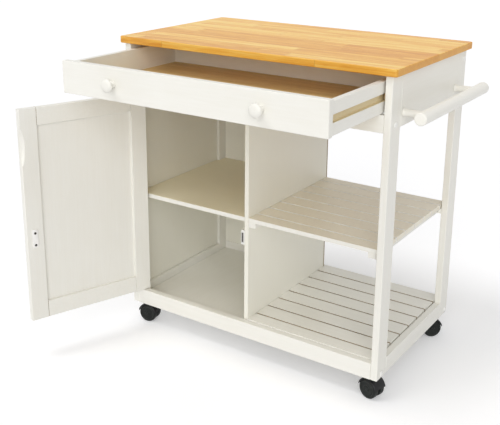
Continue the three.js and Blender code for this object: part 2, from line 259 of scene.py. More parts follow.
# steel, faintly brushed along Z
steelKind = {
    "noises": {"brushed": {"stretch": (30, 900, 900), "scale": 3.0, "detail": 3, "roughness": 0.6}},
    "mix": {"brushed": 1.0},
    "stops": (0.3, 0.7),
    "dulledBy": "brushed",
    "bumps": {"brushed": (0.00003, 0.3)},
    "settings": {"Metallic": 1.0},
}
steels = {
    "zincSteel": {"light": (0.62, 0.61, 0.58), "deep": (0.45, 0.44, 0.42), "roughness": (0.22, 0.38)},
    "plateSteel": {"light": (0.9, 0.89, 0.87), "deep": (0.78, 0.77, 0.75), "roughness": (0.4, 0.52)},
    "darkSteel": {"light": (0.09, 0.085, 0.08), "deep": (0.05, 0.045, 0.04), "roughness": (0.35, 0.5)},
}

worktop = {
    "staveWidth": 0.0408,
    "blockLength": 0.47,
    "countFrom": (-3.0, -2.0),  # blocks and staves are counted from here, well off the worktop
    "fingerLength": 0.007,
    "fingerPitch": 0.0095,
    "blockHop": (9.0, 5.0, 3.0),
    "pale": (0.96, 0.66, 0.185),
    "honey": (0.89, 0.49, 0.085),
    "amber": (0.70, 0.29, 0.03),
    "stops": (0.535, 0.64, 0.78),
    "noises": {
        "figure": {"stretch": (1.3, 18, 18), "scale": 3.0, "detail": 6, "roughness": 0.6, "distortion": 1.1},
        "streak": {"stretch": (0.9, 95, 95), "scale": 2.0, "detail": 4, "roughness": 0.65, "distortion": 0.4},
        "fibre": {"stretch": (9, 330, 330), "scale": 4.0, "detail": 3, "roughness": 0.6},
        "pores": {"stretch": (60, 900, 900), "scale": 2.0, "detail": 2, "roughness": 0.5},
        "rings": {"stretch": (1, 120, 260), "scale": 3.0, "detail": 4, "roughness": 0.6, "distortion": 0.8},
    },
    "mix": {"fibre": 0.2, "streak": 0.42, "figure": 0.5, "tone": 0.16},
    "poreRange": (0.62, 0.8),
    "poreStrength": 0.35,
    "glueLine": (0.42, 0.2, 0.04),
    "glueStrength": 0.42,
    "staveLine": 0.011,  # the glue line's half width, as a share of a stave
    "blockLine": 0.0016,  # the same, as a share of a block
    "endFacing": 0.75,  # end grain shows where the normal reaches this far along X
    "endStops": (0.3, 0.75),
    "endStrength": 0.75,
    "topFacing": 0.5,  # a face is a side where its normal reaches less far up than this
    # painted shade: the sides are darkened by this tint
    "sideShadeTint": (0.8, 0.72, 0.5),
    "sideShadeStrength": 0.6,
    "height": {"fibre": 0.6, "pores": 0.4, "glue": -0.7},
    "bumps": {"figure": (0.0002, 0.3), "height": (0.00016, 0.5)},
    "roughness": (0.34, 0.52),
    "settings": {"Specular IOR Level": 0.35, "Coat Weight": 0.08, "Coat Roughness": 0.3},
}

def worktopBlocks(tree, position):
    # counts staves across Y and finger-jointed blocks along X, and gives each block a tone of its own
    startX, startY = worktop["countFrom"]
    axes = put(tree, "ShaderNodeSeparateXYZ", {"Vector": position}).outputs
    across = calc(tree, "DIVIDE", calc(tree, "SUBTRACT", axes[1], startY), worktop["staveWidth"])
    stave = calc(tree, "FLOOR", across)
    shift = put(tree, "ShaderNodeTexWhiteNoise", {"W": stave}, noise_dimensions="1D").outputs["Value"]
    finger = calc(tree, "PINGPONG", axes[1], worktop["fingerPitch"] / 2)
    slope = 2 * worktop["fingerLength"] / worktop["fingerPitch"]
    reach = calc(tree, "SUBTRACT", calc(tree, "MULTIPLY_ADD", finger, slope, axes[0]), startX)
    along = calc(tree, "ADD", calc(tree, "DIVIDE", reach, worktop["blockLength"]), shift)
    key = put(tree, "ShaderNodeCombineXYZ", {0: stave, 1: calc(tree, "FLOOR", along), 2: 0.0}).outputs[0]
    tone = put(tree, "ShaderNodeTexWhiteNoise", {"Vector": key}, noise_dimensions="3D").outputs["Value"]
    return across, along, tone

def seams(tree, value, width):
    # 1 within width of each whole number, 0 elsewhere
    offset = calc(tree, "ABSOLUTE", calc(tree, "SUBTRACT", calc(tree, "FRACT", value), 0.5))
    return calc(tree, "GREATER_THAN", offset, 0.5 - width)

def sideColour(tree, colour, rings):
    # end grain on the short sides, and all four sides a little darker as painted shade
    faceNormal = put(tree, "ShaderNodeNewGeometry").outputs["True Normal"]
    facing = put(tree, "ShaderNodeSeparateXYZ", {"Vector": faceNormal}).outputs
    isEnd = calc(tree, "GREATER_THAN", calc(tree, "ABSOLUTE", facing[0]), worktop["endFacing"])
    low, high = worktop["endStops"]
    endColour = ramp(tree, rings, [(low, worktop["honey"]), (high, worktop["amber"])])
    colour = blendColour(tree, calc(tree, "MULTIPLY", isEnd, worktop["endStrength"]), colour, endColour)
    isSide = calc(tree, "LESS_THAN", facing[2], worktop["topFacing"])
    darkness = calc(tree, "MULTIPLY", isSide, worktop["sideShadeStrength"])
    return blendColour(tree, darkness, colour, worktop["sideShadeTint"], "MULTIPLY")

def worktopMaterial():
    # edge-glued staves along X, each of finger-jointed blocks with its own tone and grain
    material, tree, position = newMaterial("worktopWood")
    across, along, tone = worktopBlocks(tree, position)
    hops = {index: calc(tree, "MULTIPLY", tone, hop) for index, hop in enumerate(worktop["blockHop"])}
    hop = put(tree, "ShaderNodeCombineXYZ", hops).outputs[0]
    moved = put(tree, "ShaderNodeVectorMath", {0: position, 1: hop}, operation="ADD").outputs[0]
    values = noises(tree, moved, worktop["noises"])
    values["tone"] = tone
    stops = zip(worktop["stops"], (worktop["pale"], worktop["honey"], worktop["amber"]))
    colour = ramp(tree, weighted(tree, values, worktop["mix"]), list(stops))
    poreDark = rescaled(tree, values["pores"], worktop["poreRange"], (0.0, worktop["poreStrength"]))
    colour = blendColour(tree, poreDark, colour, worktop["amber"])
    staveSeam = seams(tree, across, worktop["staveLine"])
    values["glue"] = calc(tree, "MAXIMUM", staveSeam, seams(tree, along, worktop["blockLine"]))
    glueDark = calc(tree, "MULTIPLY", values["glue"], worktop["glueStrength"])
    colour = sideColour(tree, blendColour(tree, glueDark, colour, worktop["glueLine"]), values["rings"])
    values["height"] = weighted(tree, values, worktop["height"])
    normal = bumps(tree, values, worktop["bumps"])
    finishSurface(tree, colour, values["fibre"], worktop["roughness"], normal, worktop["settings"])
    return material

paintAlong = {axis: paintMaterial("paint", axis) for axis in "XYZ"}
panelWhite = paintMaterial("panelPaint", "Z")
shelfShadeTan = paintMaterial("shelfShadePaint", "X")
rackShadeTan = paintMaterial("rackShadePaint", "X")
worktopWood = worktopMaterial()
grooveWood = plainMaterial("grooveWood", bareWoodKind, bareWoods["grooveWood"], "Y")
runnerWood = plainMaterial("runnerWood", bareWoodKind, bareWoods["runnerWood"], "Y")
gapShade = plainMaterial("gapShade", bareWoodKind, bareWoods["gapShade"], "X")
hardboard = plainMaterial("hardboard", hardboardKind, hardboardLook)
hoodPlastic, wheelPlastic, whitePlasticAndHighlight = [
    plainMaterial(name, plasticKind, look) for name, look in plastics.items()]
zincSteel, plateSteel, darkSteel = [
    plainMaterial(name, steelKind, look, "Z") for name, look in steels.items()]
print("materials made")

creaseAngle = 38  # degrees; edges sharper than this stay crisp
easeLimit = 0.3  # an eased edge takes at most this share of a board's thickness

def gridSurface(points, capEnds=True):
    # rows of points, each row a closed loop, as vertices and faces; points that fall together are merged
    flat = points.reshape(-1, 3)
    first, back = np.unique(np.round(flat, decimals=8), axis=0, return_index=True, return_inverse=True)[1:]
    back = back.reshape(points.shape[:2])
    beside = np.roll(back, -1, axis=1)
    quads = np.stack([back[:-1], beside[:-1], beside[1:], back[1:]], -1).reshape(-1, 4)
    faces = [list(dict.fromkeys(quad)) for quad in quads.tolist()]
    if capEnds:
        faces.append(list(dict.fromkeys(back[0][::-1].tolist())))
        faces.append(list(dict.fromkeys(back[-1].tolist())))
    faces = [face for face in faces if len(face) > 2]
    return flat[first], faces, first

def roundedSlab(low, high, corner, edge, cornerSteps=4, edgeSteps=3):
    # a block whose upright corners are arcs of radius corner and whose rims are quarters of radius edge:
    # a point is its corner's centre plus corner - edge + edge * cos(tilt) outward, at the rim's height plus
    # edge * sin(tilt), and tilt runs from -90 to 0 degrees at the foot and from 0 to 90 at the top
    low, high = np.array(low), np.array(high)
    corner = max(corner, edge)
    turn = np.linspace(0, math.pi / 2, cornerSteps + 1)
    quarter = np.stack([np.cos(turn), np.sin(turn)], -1)
    quarterTurns = np.arange(4) * math.pi / 2
    spins = [np.array([[math.cos(a), math.sin(a)], [-math.sin(a), math.cos(a)]]) for a in quarterTurns]
    outward = np.concatenate([quarter @ spin for spin in spins])
    near, far = low + corner, high - corner
    centres = np.array([[far[0], far[1]], [near[0], far[1]], [near[0], near[1]], [far[0], near[1]]])
    centres = np.repeat(centres, cornerSteps + 1, axis=0)
    rim = np.linspace(0, math.pi / 2, edgeSteps + 1)
    tilt = np.concatenate([-rim[::-1], rim])
    reach = corner - edge + edge * np.cos(tilt)
    rimHeight = np.where(np.arange(len(tilt)) <= edgeSteps, low[2] + edge, high[2] - edge)
    points = np.empty((len(tilt), len(outward), 3))
    points[..., :2] = centres[None] + reach[:, None, None] * outward[None]
    points[..., 2] = (rimHeight + edge * np.sin(tilt))[:, None]
    normals = np.empty_like(points)
    normals[..., :2] = np.cos(tilt)[:, None, None] * outward[None]
    normals[..., 2] = np.sin(tilt)[:, None]
    vertices, faces, first = gridSurface(points)
    return vertices, faces, normals.reshape(-1, 3)[first]

def turned(profile, around=64):
    # (radius, height) carried round the Z axis: a point is (radius * cos(angle), radius * sin(angle), height)
    profile = np.array(profile, float)
    angle = np.linspace(0, 2 * math.pi, around, endpoint=False)
    points = np.empty((len(profile), around, 3))
    points[..., 0] = profile[:, :1] * np.cos(angle)
    points[..., 1] = profile[:, :1] * np.sin(angle)
    points[..., 2] = profile[:, 1:]
    return gridSurface(points, capEnds=False)[:2]

def smoothProfile(points, radius, steps=4, mostOfSide=0.45):
    # each inner point becomes the curve (1 - t)^2 * start + 2 * t * (1 - t) * point + t^2 * end, whose start
    # and end lie radius away along the point's two sides, but never past mostOfSide of a side
    points = np.array(points, float)
    out = [points[0]]
    for before, here, after in zip(points[:-2], points[1:-1], points[2:]):
        back, ahead = before - here, after - here
        backLength, aheadLength = np.linalg.norm(back), np.linalg.norm(ahead)
        size = min(radius, backLength * mostOfSide, aheadLength * mostOfSide)
        start = here + back / backLength * size
        end = here + ahead / aheadLength * size
        t = np.linspace(0, 1, steps + 1)[:, None]
        out.extend((1 - t) ** 2 * start + 2 * t * (1 - t) * here + t ** 2 * end)
    out.append(points[-1])
    return np.array(out)

def rodProfile(radius, start, end):
    return [(0, start), (radius, start), (radius, end), (0, end)]

def prism(section, low, high):
    # a closed outline of (x, z) carried along Y from low to high
    section = np.array(section, float)
    points = np.empty((2, len(section), 3))
    points[..., 0] = section[:, 0]
    points[..., 1] = np.array([[low], [high]])
    points[..., 2] = section[:, 1]
    return gridSurface(points)[:2]

def placed(vertices, matrix):
    return vertices @ np.array(matrix)[:3, :3].T + np.array(matrix)[:3, 3]

def joined(parts):
    vertices, faces, count = [], [], 0
    for partVertices, partFaces in parts:
        vertices.append(partVertices)
        faces += [[index + count for index in face] for face in partFaces]
        count += len(partVertices)
    return np.concatenate(vertices), faces

def turnAbout(letter, degrees):
    return Matrix.Rotation(math.radians(degrees), 4, letter)

def addObject(name, data):
    thing = bpy.data.objects.new(name, data)
    bpy.context.scene.collection.objects.link(thing)
    return thing

def makePiece(name, vertices, faces, material, body, replaced=(), normals=None, sharp=creaseAngle):
    mesh = bpy.data.meshes.new(name)
    mesh.from_pydata(np.asarray(vertices).tolist(), [], faces)
    mesh.validate()
    mesh.materials.append(material)
    mesh.polygons.foreach_set("use_smooth", [True] * len(mesh.polygons))
    if normals is not None:
        mesh.normals_split_custom_set_from_vertices(normals.tolist())
    elif sharp:
        mesh.set_sharp_from_angle(angle=math.radians(sharp))
    mesh.update()
    piece = addObject(name, mesh)
    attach(piece, body)
    if replaced:
        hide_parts(*replaced)
    return piece

def paintFaces(piece, material, picks):
    # gives another material to the faces that picks chooses
    piece.data.materials.append(material)
    index = len(piece.data.materials) - 1
    for face in piece.data.polygons:
        if picks(face):
            face.material_index = index

def easeEdges(piece, width, segments):
    ease = piece.modifiers.new("ease", "BEVEL")
    ease.width = width
    ease.segments = segments
    ease.limit_method = "ANGLE"
    ease.angle_limit = math.radians(creaseAngle)
    ease.harden_normals = True

def nodeBox(node):
    low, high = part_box(node)
    return np.array(low), np.array(high)

def boardPiece(name, low, high, body, edge, axis=None, material=None, replaced=()):
    # a board with every edge eased, painted along its longest side unless axis or material says otherwise
    size = np.array(high) - np.array(low)
    axis = axis or "XYZ"[int(np.argmax(size))]
    edge = min(edge, size.min() * easeLimit)
    vertices, faces, normals = roundedSlab(low, high, edge, edge)
    return makePiece(name, vertices, faces, material or paintAlong[axis], body, replaced, normals)

# straight boards, and the radius that eases the edges of each
boards = {
    "post_front_left": 0.0024, "post_front_right": 0.0024,
    "post_back_left": 0.0024, "post_back_right": 0.0024,
    "apron_left": 0.0010, "apron_right": 0.0010, "apron_back": 0.0012, "drawer_rail": 0.0014,
    "lower_rail_front": 0.0016, "lower_rail_back": 0.0014,
    "lower_rail_left": 0.0014, "lower_rail_right": 0.0016,
    "side_panel": 0.0012, "back_panel": 0.0012, "cabinet_floor": 0.0014, "divider": 0.0012,
    "rack_cleat_front": 0.0012, "rack_cleat_back": 0.0012,
    "corner_block_front_left": 0.0010, "corner_block_front_right": 0.0010,
    "corner_block_back_left": 0.0010, "corner_block_back_right": 0.0010,
    "drawer_front": 0.0022, "drawer_back": 0.0012,
}
sheets = ("side_panel", "back_panel", "divider")
letInto = {"side_panel": 0, "back_panel": 1, "cabinet_floor": 2}  # the axis that its broad faces look along
broadFacing = 0.8  # a face is broad where its normal reaches this far along that axis
for node, edge in boards.items():
    low, high = nodeBox(node)
    material = panelWhite if node in sheets else None
    board = boardPiece(node + "_board", low, high, bodyOf[node], edge, material=material, replaced=[node])
    if node in letInto:  # painted shade along the joint: the rim faces take the dark colour
        across = letInto[node]
        paintFaces(board, gapShade, lambda face: abs(face.normal[across]) < broadFacing)

runnerEdge = 0.0012
for node in ("runner_left", "runner_right"):
    low, high = nodeBox(node)
    boardPiece(node + "_strip", low, high, bodyOf[node], runnerEdge,
               material=runnerWood, replaced=[node])

drawerBottomEdge = 0.0004
low, high = nodeBox("drawer_bottom")
boardPiece("drawer_bottom_sheet", low, high, "drawer", drawerBottomEdge,
           material=hardboard, replaced=["drawer_bottom"])

# worktop with rounded corners and eased rims
slabShape = {"corner": 0.008, "edge": 0.0028, "cornerSteps": 10, "edgeSteps": 5}
low, high = nodeBox("top")
vertices, faces, normals = roundedSlab(low, high, **slabShape)
makePiece("worktop_slab", vertices, faces, worktopWood, "cart", ["top"], normals)
print("boards made")

shelfShape = {"ease": 0.001, "easeSteps": 3, "weld": 1e-6, "flat": 1}  # flat in degrees
sideFacing = 0.5

def easedCopy(node, name, material):
    # the frame's own solid, which keeps its notches, with its flat faces made whole and its edges eased
    mesh = frame["nodes"][node].data.copy()
    mesh.name = name
    mesh.materials.clear()
    mesh.materials.append(material)
    work = bmesh.new()
    work.from_mesh(mesh)
    bmesh.ops.remove_doubles(work, verts=work.verts, dist=shelfShape["weld"])
    flat = math.radians(shelfShape["flat"])
    bmesh.ops.dissolve_limit(work, angle_limit=flat, verts=work.verts, edges=work.edges)
    work.to_mesh(mesh)
    work.free()
    mesh.polygons.foreach_set("use_smooth", [True] * len(mesh.polygons))
    mesh.set_sharp_from_angle(angle=math.radians(creaseAngle))
    piece = addObject(name, mesh)
    easeEdges(piece, shelfShape["ease"], shelfShape["easeSteps"])
    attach(piece, bodyOf[node])
    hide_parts(node)
    return piece

# painted shade: the shelf's top takes the tan shade paint while its front face keeps the plain white paint,
# and its left end and back take the dark colour for the shadow line at the post
shelfBoard = easedCopy("shelf", "shelf_board", shelfShadeTan)
paintFaces(shelfBoard, paintAlong["X"], lambda face: face.normal.y < -sideFacing)
paintFaces(shelfBoard, gapShade, lambda face: face.normal.x < -sideFacing or face.normal.y > sideFacing)

# the door is modelled shut and turned open about its hinge
doorShape = {"edge": 0.0014, "panelEdge": 0.0004, "buttFacing": 0.6}
hinge = jointOf["door_hinge"]
doorPivot = Vector(hinge["pos_m"])
toPivot = Matrix.Translation(doorPivot)
doorTurn = toPivot @ turnAbout("Z", hinge["range_deg"][0]) @ toPivot.inverted()

def shutBox(node):
    # the node's corners with the door swung shut
    points = np.array([vertex.co for vertex in frame["nodes"][node].data.vertices])
    back = placed(points, doorTurn.inverted())
    return back.min(0), back.max(0)

def doorBoard(node, name, edge, axis):
    low, high = shutBox(node)
    vertices, faces, normals = roundedSlab(low, high, edge, edge)
    turnedNormals = normals @ np.array(doorTurn)[:3, :3].T
    vertices = placed(vertices, doorTurn)
    return makePiece(name, vertices, faces, paintAlong[axis], "door", [node], turnedNormals)

doorBoard("door_stile_hinge", "door_stile_hinge_board", doorShape["edge"], "Z")
acrossDoor = doorTurn.to_3x3() @ Vector((1, 0, 0))
for node in ("door_rail_lower", "door_rail_upper"):
    rail = doorBoard(node, node + "_board", doorShape["edge"], "X")
    # painted shade at the butt joints: the end faces take the dark colour
    paintFaces(rail, gapShade, lambda face: abs(face.normal.dot(acrossDoor)) > doorShape["buttFacing"])
doorBoard("door_panel", "door_panel_sheet", doorShape["panelEdge"], "Z")

pullShape = {
    "height": 0.617,
    "length": 0.104,
    "depth": 0.0115,
    "ease": 0.0014,
    "swell": 0.62,  # the power that shapes the pull's ends
    "rows": 49,
    "footRow": 0.03,  # a row this far over the board's foot
    "headRow": 0.015,  # and one this far under its head
    "cornerSteps": 8,
}

def pullStileSurface(low, high):
    # upright board: each row is its section at one height, with three corners rounded to ease and the free
    # inner corner hollowed by a cove of radius ease + (depth - ease) * cos(pi * rise / length) ^ swell, where
    # rise is the height over the pull's middle
    ease = pullShape["ease"]
    length = pullShape["length"]
    reach = np.linspace(-0.5, 0.5, pullShape["rows"]) * length
    foot = [low[2], low[2] + pullShape["footRow"]]
    head = [high[2] - pullShape["headRow"], high[2]]
    levels = np.concatenate([foot, pullShape["height"] + reach, head])
    rise = levels - pullShape["height"]
    swell = np.clip(np.cos(np.pi * rise / length), 0, 1) ** pullShape["swell"]
    swell[np.abs(rise) > length / 2] = 0
    cove = ease + (pullShape["depth"] - ease) * swell
    turn = np.linspace(0, math.pi / 2, pullShape["cornerSteps"] + 1)
    corners = [  # the middle and the start of each corner's arc, in order round the board; None is the cove
        (low[0] + ease, low[1] + ease, math.pi),
        (high[0] - ease, low[1] + ease, 1.5 * math.pi),
        (high[0], high[1], None),
        (low[0] + ease, high[1] - ease, 0.5 * math.pi),
    ]
    columns = []
    for x, y, start in corners:
        for step in turn:
            if start is None:
                ahead, aside = -cove * math.sin(step), -cove * math.cos(step)
            else:
                ahead, aside = ease * math.cos(start + step), ease * math.sin(start + step)
            columns.append(np.stack(np.broadcast_arrays(x + ahead, y + aside, levels), -1))
    return gridSurface(np.stack(columns, 1))[:2]

low, high = shutBox("door_stile_free")
vertices, faces = pullStileSurface(low, high)
makePiece("door_stile_free_board", placed(vertices, doorTurn), faces, paintAlong["Z"], "door",
          ["door_stile_free"], sharp=60)

screwShape = {
    "radius": 0.0034,
    "height": 0.0016,
    "domeReach": 0.93,
    "slotWidth": 0.13,
    "slotReach": 0.62,
    "slotDepth": 0.55,
    "rings": 9,
    "around": 48,
}

def crossScrew():
    # pan head with a cross recess, where r runs from 0 in the middle to 1 at the rim: the head's height is
    # height * sqrt(1 - (domeReach * r)^2), less a recess of slotDepth * height * sqrt(1 - r / slotReach) *
    # exp(-(r * the smaller of |cos| and |sin| of the angle / slotWidth)^2)
    radius = screwShape["radius"]
    height = screwShape["height"]
    r = np.linspace(0, 1, screwShape["rings"])[:, None]
    angle = np.linspace(0, 2 * math.pi, screwShape["around"], endpoint=False)
    cosine, sine = np.cos(angle), np.sin(angle)
    dome = height * np.sqrt(1 - (r * screwShape["domeReach"]) ** 2)
    near = np.exp(-(np.minimum(np.abs(cosine), np.abs(sine)) * r / screwShape["slotWidth"]) ** 2)
    fade = np.clip(1 - r / screwShape["slotReach"], 0, 1) ** 0.5
    points = np.empty((len(r) + 1, len(angle), 3))
    points[:-1, :, 0] = radius * r * cosine
    points[:-1, :, 1] = radius * r * sine
    points[:-1, :, 2] = dome - near * fade * height * screwShape["slotDepth"]
    points[-1, :, 0] = radius * cosine
    points[-1, :, 1] = radius * sine
    points[-1, :, 2] = 0
    return gridSurface(points[::-1])[:2]

# strike plate with its two screws
strikeShape = {"corner": 0.003, "edge": 0.0004, "cornerSteps": 6, "edgeSteps": 2}
strikeScrews = {"sunk": 0.0002, "shares": (0.13, 0.79)}  # shares of the plate's height
low, high = shutBox("strike_plate")
plateHigh = (high[0], high[2], high[1] - low[1])
vertices, faces = roundedSlab((low[0], low[2], 0), plateHigh, **strikeShape)[:2]
faces = [face[::-1] for face in faces]  # standUp swaps Y and Z, which would turn them inside out
standUp = Matrix(((1, 0, 0, 0), (0, 0, 1, low[1]), (0, 1, 0, 0), (0, 0, 0, 1)))
vertices = placed(vertices, doorTurn @ standUp)
makePiece("strike_plate_sheet", vertices, faces, plateSteel, "door", ["strike_plate"])
for number, share in enumerate(strikeScrews["shares"]):
    height = low[2] + (high[2] - low[2]) * share
    spot = ((low[0] + high[0]) / 2, high[1] - strikeScrews["sunk"], height)
    seat = Matrix.Translation(spot) @ turnAbout("X", -90)
    vertices, faces = crossScrew()
    vertices = placed(vertices, doorTurn @ seat)
    makePiece(f"strike_screw_{number + 1}", vertices, faces, darkSteel, "door")

pivotEase = 0.0008
for node in ("pivot_pin_lower", "pivot_pin_upper"):
    low, high = nodeBox(node)
    middle = (low + high) / 2
    pin = rodProfile((high[0] - low[0]) / 2, low[2], high[2])
    vertices, faces = turned(smoothProfile(pin, pivotEase), around=40)
    vertices += np.array([middle[0], middle[1], 0])
    makePiece(node + "_rod", vertices, faces, zincSteel, "door", [node])
print("door made")

# drawer sides: a section grooved to run on the frame's runners, with bare wood inside the groove
drawerShape = {"grooveDepth": 0.0085, "playUnder": 0.0015, "playOver": 0.0003, "ease": 0.001, "easeSteps": 2}
tiny = 1e-4  # tells a face inside the groove from one on the side itself

def drawerSidePiece(side, inward):
    node = "drawer_side_" + side
    low, high = nodeBox(node)
    runnerLow, runnerHigh = nodeBox("runner_" + side)
    grooveLow = runnerLow[2] - drawerShape["playUnder"]
    grooveHigh = runnerHigh[2] + drawerShape["playOver"]
    outer, inner = (low[0], high[0]) if inward > 0 else (high[0], low[0])
    deep = outer + inward * drawerShape["grooveDepth"]
    section = [(outer, low[2]), (inner, low[2]), (inner, high[2]), (outer, high[2]), (outer, grooveHigh),
               (deep, grooveHigh), (deep, grooveLow), (outer, grooveLow)]
    if inward > 0:
        section = section[::-1]
    vertices, faces = prism(section, low[1], high[1])
    piece = makePiece(node + "_board", vertices, faces, paintAlong["Y"], "drawer", [node], sharp=30)

    def inGroove(face):
        within = grooveLow - tiny < face.center.z < grooveHigh + tiny
        off = min(abs(face.center.x - outer), abs(face.center.x - inner)) > tiny
        return within and off and len(face.vertices) == 4

    paintFaces(piece, grooveWood, inGroove)
    easeEdges(piece, drawerShape["ease"], drawerShape["easeSteps"])

drawerSidePiece("left", 1)
drawerSidePiece("right", -1)

# mushroom knobs, turned about an axis along Y: (radius, distance from the drawer's face)
knobShape = {"ease": 0.002, "easeSteps": 3, "around": 56, "sunk": 0.0003}
knobProfile = [
    (0.0, 0.0), (0.0092, 0.0), (0.0094, 0.0012), (0.0078, 0.0034), (0.0070, 0.0072), (0.0072, 0.0105),
    (0.0092, 0.0134), (0.0130, 0.0152), (0.0159, 0.0172), (0.0170, 0.0200), (0.0165, 0.0228),
    (0.0142, 0.0252), (0.0100, 0.0270), (0.0050, 0.0278), (0.0, 0.0280),
]
knob = smoothProfile(knobProfile, knobShape["ease"], knobShape["easeSteps"])
for side in ("left", "right"):
    node = "knob_" + side
    low, high = nodeBox(node)
    base = ((low[0] + high[0]) / 2, high[1] + knobShape["sunk"], (low[2] + high[2]) / 2)
    vertices, faces = turned(knob, around=knobShape["around"])
    vertices = placed(vertices, Matrix.Translation(base) @ turnAbout("X", 90))
    makePiece(node + "_turned", vertices, faces, paintAlong["Y"], "drawer", [node], sharp=0)
print("drawer made")

# slatted racks: each slat and batten is its own board
rackShape = {
    "pitch": 0.0585,
    "gap": 0.0045,
    "slat": 0.012,
    "edge": 0.0006,
    "middleBack": 0.0035,  # the middle gap lies this far behind the worktop's middle
    "endSlat": 0.012,  # the outermost gaps lie at least this far in
    "slatShort": 0.003,  # the slats stop this far short of the right lower rail
    "battenWidth": 0.022,
    "battenShort": 0.0005,
    "battenEdge": 0.001,
    "middleBatten": 0.011,  # the middle rack's right batten stands this far in
    "sideFacing": 0.8,
}
railFace = nodeBox("lower_rail_right")[0][0]

def rackPieces(node, rightBatten, topMaterial, gapShadeAndHighlight):
    # slats run along X; the gaps between them are set out from the middle, a pitch apart
    low, high = nodeBox(node)
    topLow, topHigh = nodeBox("top")
    middle = (topLow[1] + topHigh[1]) / 2 + rackShape["middleBack"]
    room = min(middle - low[1], high[1] - middle) - rackShape["endSlat"]
    each = int(math.floor(room / rackShape["pitch"]))
    cuts = middle + np.arange(-each, each + 1) * rackShape["pitch"]
    starts = np.append(low[1], cuts + rackShape["gap"] / 2)
    ends = np.append(cuts - rackShape["gap"] / 2, high[1])
    slatRight = railFace - rackShape["slatShort"]
    slatFoot = high[2] - rackShape["slat"]
    for number, (start, end) in enumerate(zip(starts, ends)):
        first = number == 0
        slatLow, slatHigh = (low[0], start, slatFoot), (slatRight, end, high[2])
        slat = boardPiece(f"{node}_slat_{number + 1}", slatLow, slatHigh, "cart", rackShape["edge"], "X",
                          topMaterial, replaced=[node] if first else ())
        # the side faces of all slats but the first take painted light for the gaps: a painted highlight on
        # the middle rack, painted shade on the lower rack
        paintFaces(slat, paintAlong["X"] if first else gapShadeAndHighlight,
                   lambda face: abs(face.normal.y) > rackShape["sideFacing"])
    width, short = rackShape["battenWidth"], rackShape["battenShort"]
    for side, x in (("left", low[0]), ("right", rightBatten - width)):
        battenLow, battenHigh = (x, low[1] + short, low[2]), (x + width, high[1] - short, slatFoot)
        boardPiece(f"{node}_batten_{side}", battenLow, battenHigh, "cart", rackShape["battenEdge"], "Y")

# middle rack: tan painted shade on the tops and the brighter white as painted highlight on the slat sides;
# lower rack: plain white tops and the dark colour as painted shade in the gaps
rackPieces("rack_middle", railFace - rackShape["middleBatten"], rackShadeTan, whitePlasticAndHighlight)
rackPieces("rack_lower", railFace, paintAlong["X"], gapShade)
print("racks made")

# towel bar, turned with softly rounded ends, and its two arms
barShape = {
    "endRound": 0.0035,
    "armRadius": 0.0095,
    "armFoot": [(0.0112, 0.0), (0.0106, 0.002), (0.0095, 0.0045)],
    "armInBar": 0.004,  # the arm stops this far short of the bar's middle
    "armEase": 0.001,
}
low, high = nodeBox("towel_bar")
middle = (low + high) / 2
bar = rodProfile((high[2] - low[2]) / 2, low[1], high[1])
vertices, faces = turned(smoothProfile(bar, barShape["endRound"], steps=6))
# alongY and alongX lay what was turned about Z along the axis that they name
alongY = Matrix(((1, 0, 0, middle[0]), (0, 0, 1, 0), (0, -1, 0, middle[2]), (0, 0, 0, 1)))
makePiece("towel_bar_dowel", placed(vertices, alongY), faces, paintAlong["Y"], "cart", ["towel_bar"])
for place in ("front", "back"):
    node = "towel_arm_" + place
    low, high = nodeBox(node)
    centre = (low + high) / 2
    start, end = low[0], middle[0] - barShape["armInBar"]
    arm = [(0, start)] + [(radius, start + step) for radius, step in barShape["armFoot"]]
    arm += [(barShape["armRadius"], end), (0, end)]
    vertices, faces = turned(smoothProfile(arm, barShape["armEase"]), around=48)
    alongX = Matrix(((0, 0, 1, 0), (1, 0, 0, centre[1]), (0, 1, 0, centre[2]), (0, 0, 0, 1)))
    makePiece(node + "_dowel", placed(vertices, alongX), faces, paintAlong["X"], "cart", [node])

# domed caps over the frame bolts, on both ends of the cart: (distance behind the posts' front, height)
capShape = {"radius": 0.0075, "height": 0.0034, "skirt": 0.0006, "arcSteps": 8}
capSpots = [(0.027, 0.738), (0.026, 0.082), (0.458, 0.082), (0.455, 0.834)]
capRise = capShape["height"] - capShape["skirt"]
capArc = [(capShape["radius"] * math.cos(a), capShape["skirt"] + capRise * math.sin(a))
          for a in np.linspace(0, math.pi / 2, capShape["arcSteps"], endpoint=False)]
capProfile = [(0, 0), (capShape["radius"], 0), *capArc, (0, capShape["height"])]
rightFace = nodeBox("post_front_right")[1][0]
leftFace, frontFace = nodeBox("post_front_left")[0][:2]
for number, (back, height) in enumerate(capSpots):
    for side, face, way in (("right", rightFace, 1), ("left", leftFace, -1)):
        vertices, faces = turned(capProfile, around=40)
        seat = Matrix.Translation((face, frontFace + back, height)) @ turnAbout("Y", way * 90)
        name = f"bolt_cap_{side}_{number + 1}"
        makePiece(name, placed(vertices, seat), faces, whitePlasticAndHighlight, "cart")

# pins under the shelf's four corners, in the left posts and the divider
pinShape = {
    "radius": 0.0025, "length": 0.009, "ease": 0.0006, "drop": 0.0026,
    "postFront": 0.012, "postBack": 0.018, "dividerEnds": 0.03,  # distances from the shelf's front and back
}
low, high = nodeBox("shelf")
dividerFace = nodeBox("divider")[0][0]
postFace = nodeBox("post_front_left")[1][0]
pinSpots = [
    (postFace, 1, low[1] + pinShape["postFront"]),
    (postFace, 1, high[1] - pinShape["postBack"]),
    (dividerFace, -1, low[1] + pinShape["dividerEnds"]),
    (dividerFace, -1, high[1] - pinShape["dividerEnds"]),
]
pin = smoothProfile(rodProfile(pinShape["radius"], 0, pinShape["length"]), pinShape["ease"])
for number, (x, way, y) in enumerate(pinSpots):
    vertices, faces = turned(pin, around=28)
    seat = Matrix.Translation((x, y, low[2] - pinShape["drop"])) @ turnAbout("Y", way * 90)
    makePiece(f"shelf_pin_{number + 1}", placed(vertices, seat), faces, zincSteel, "cart")

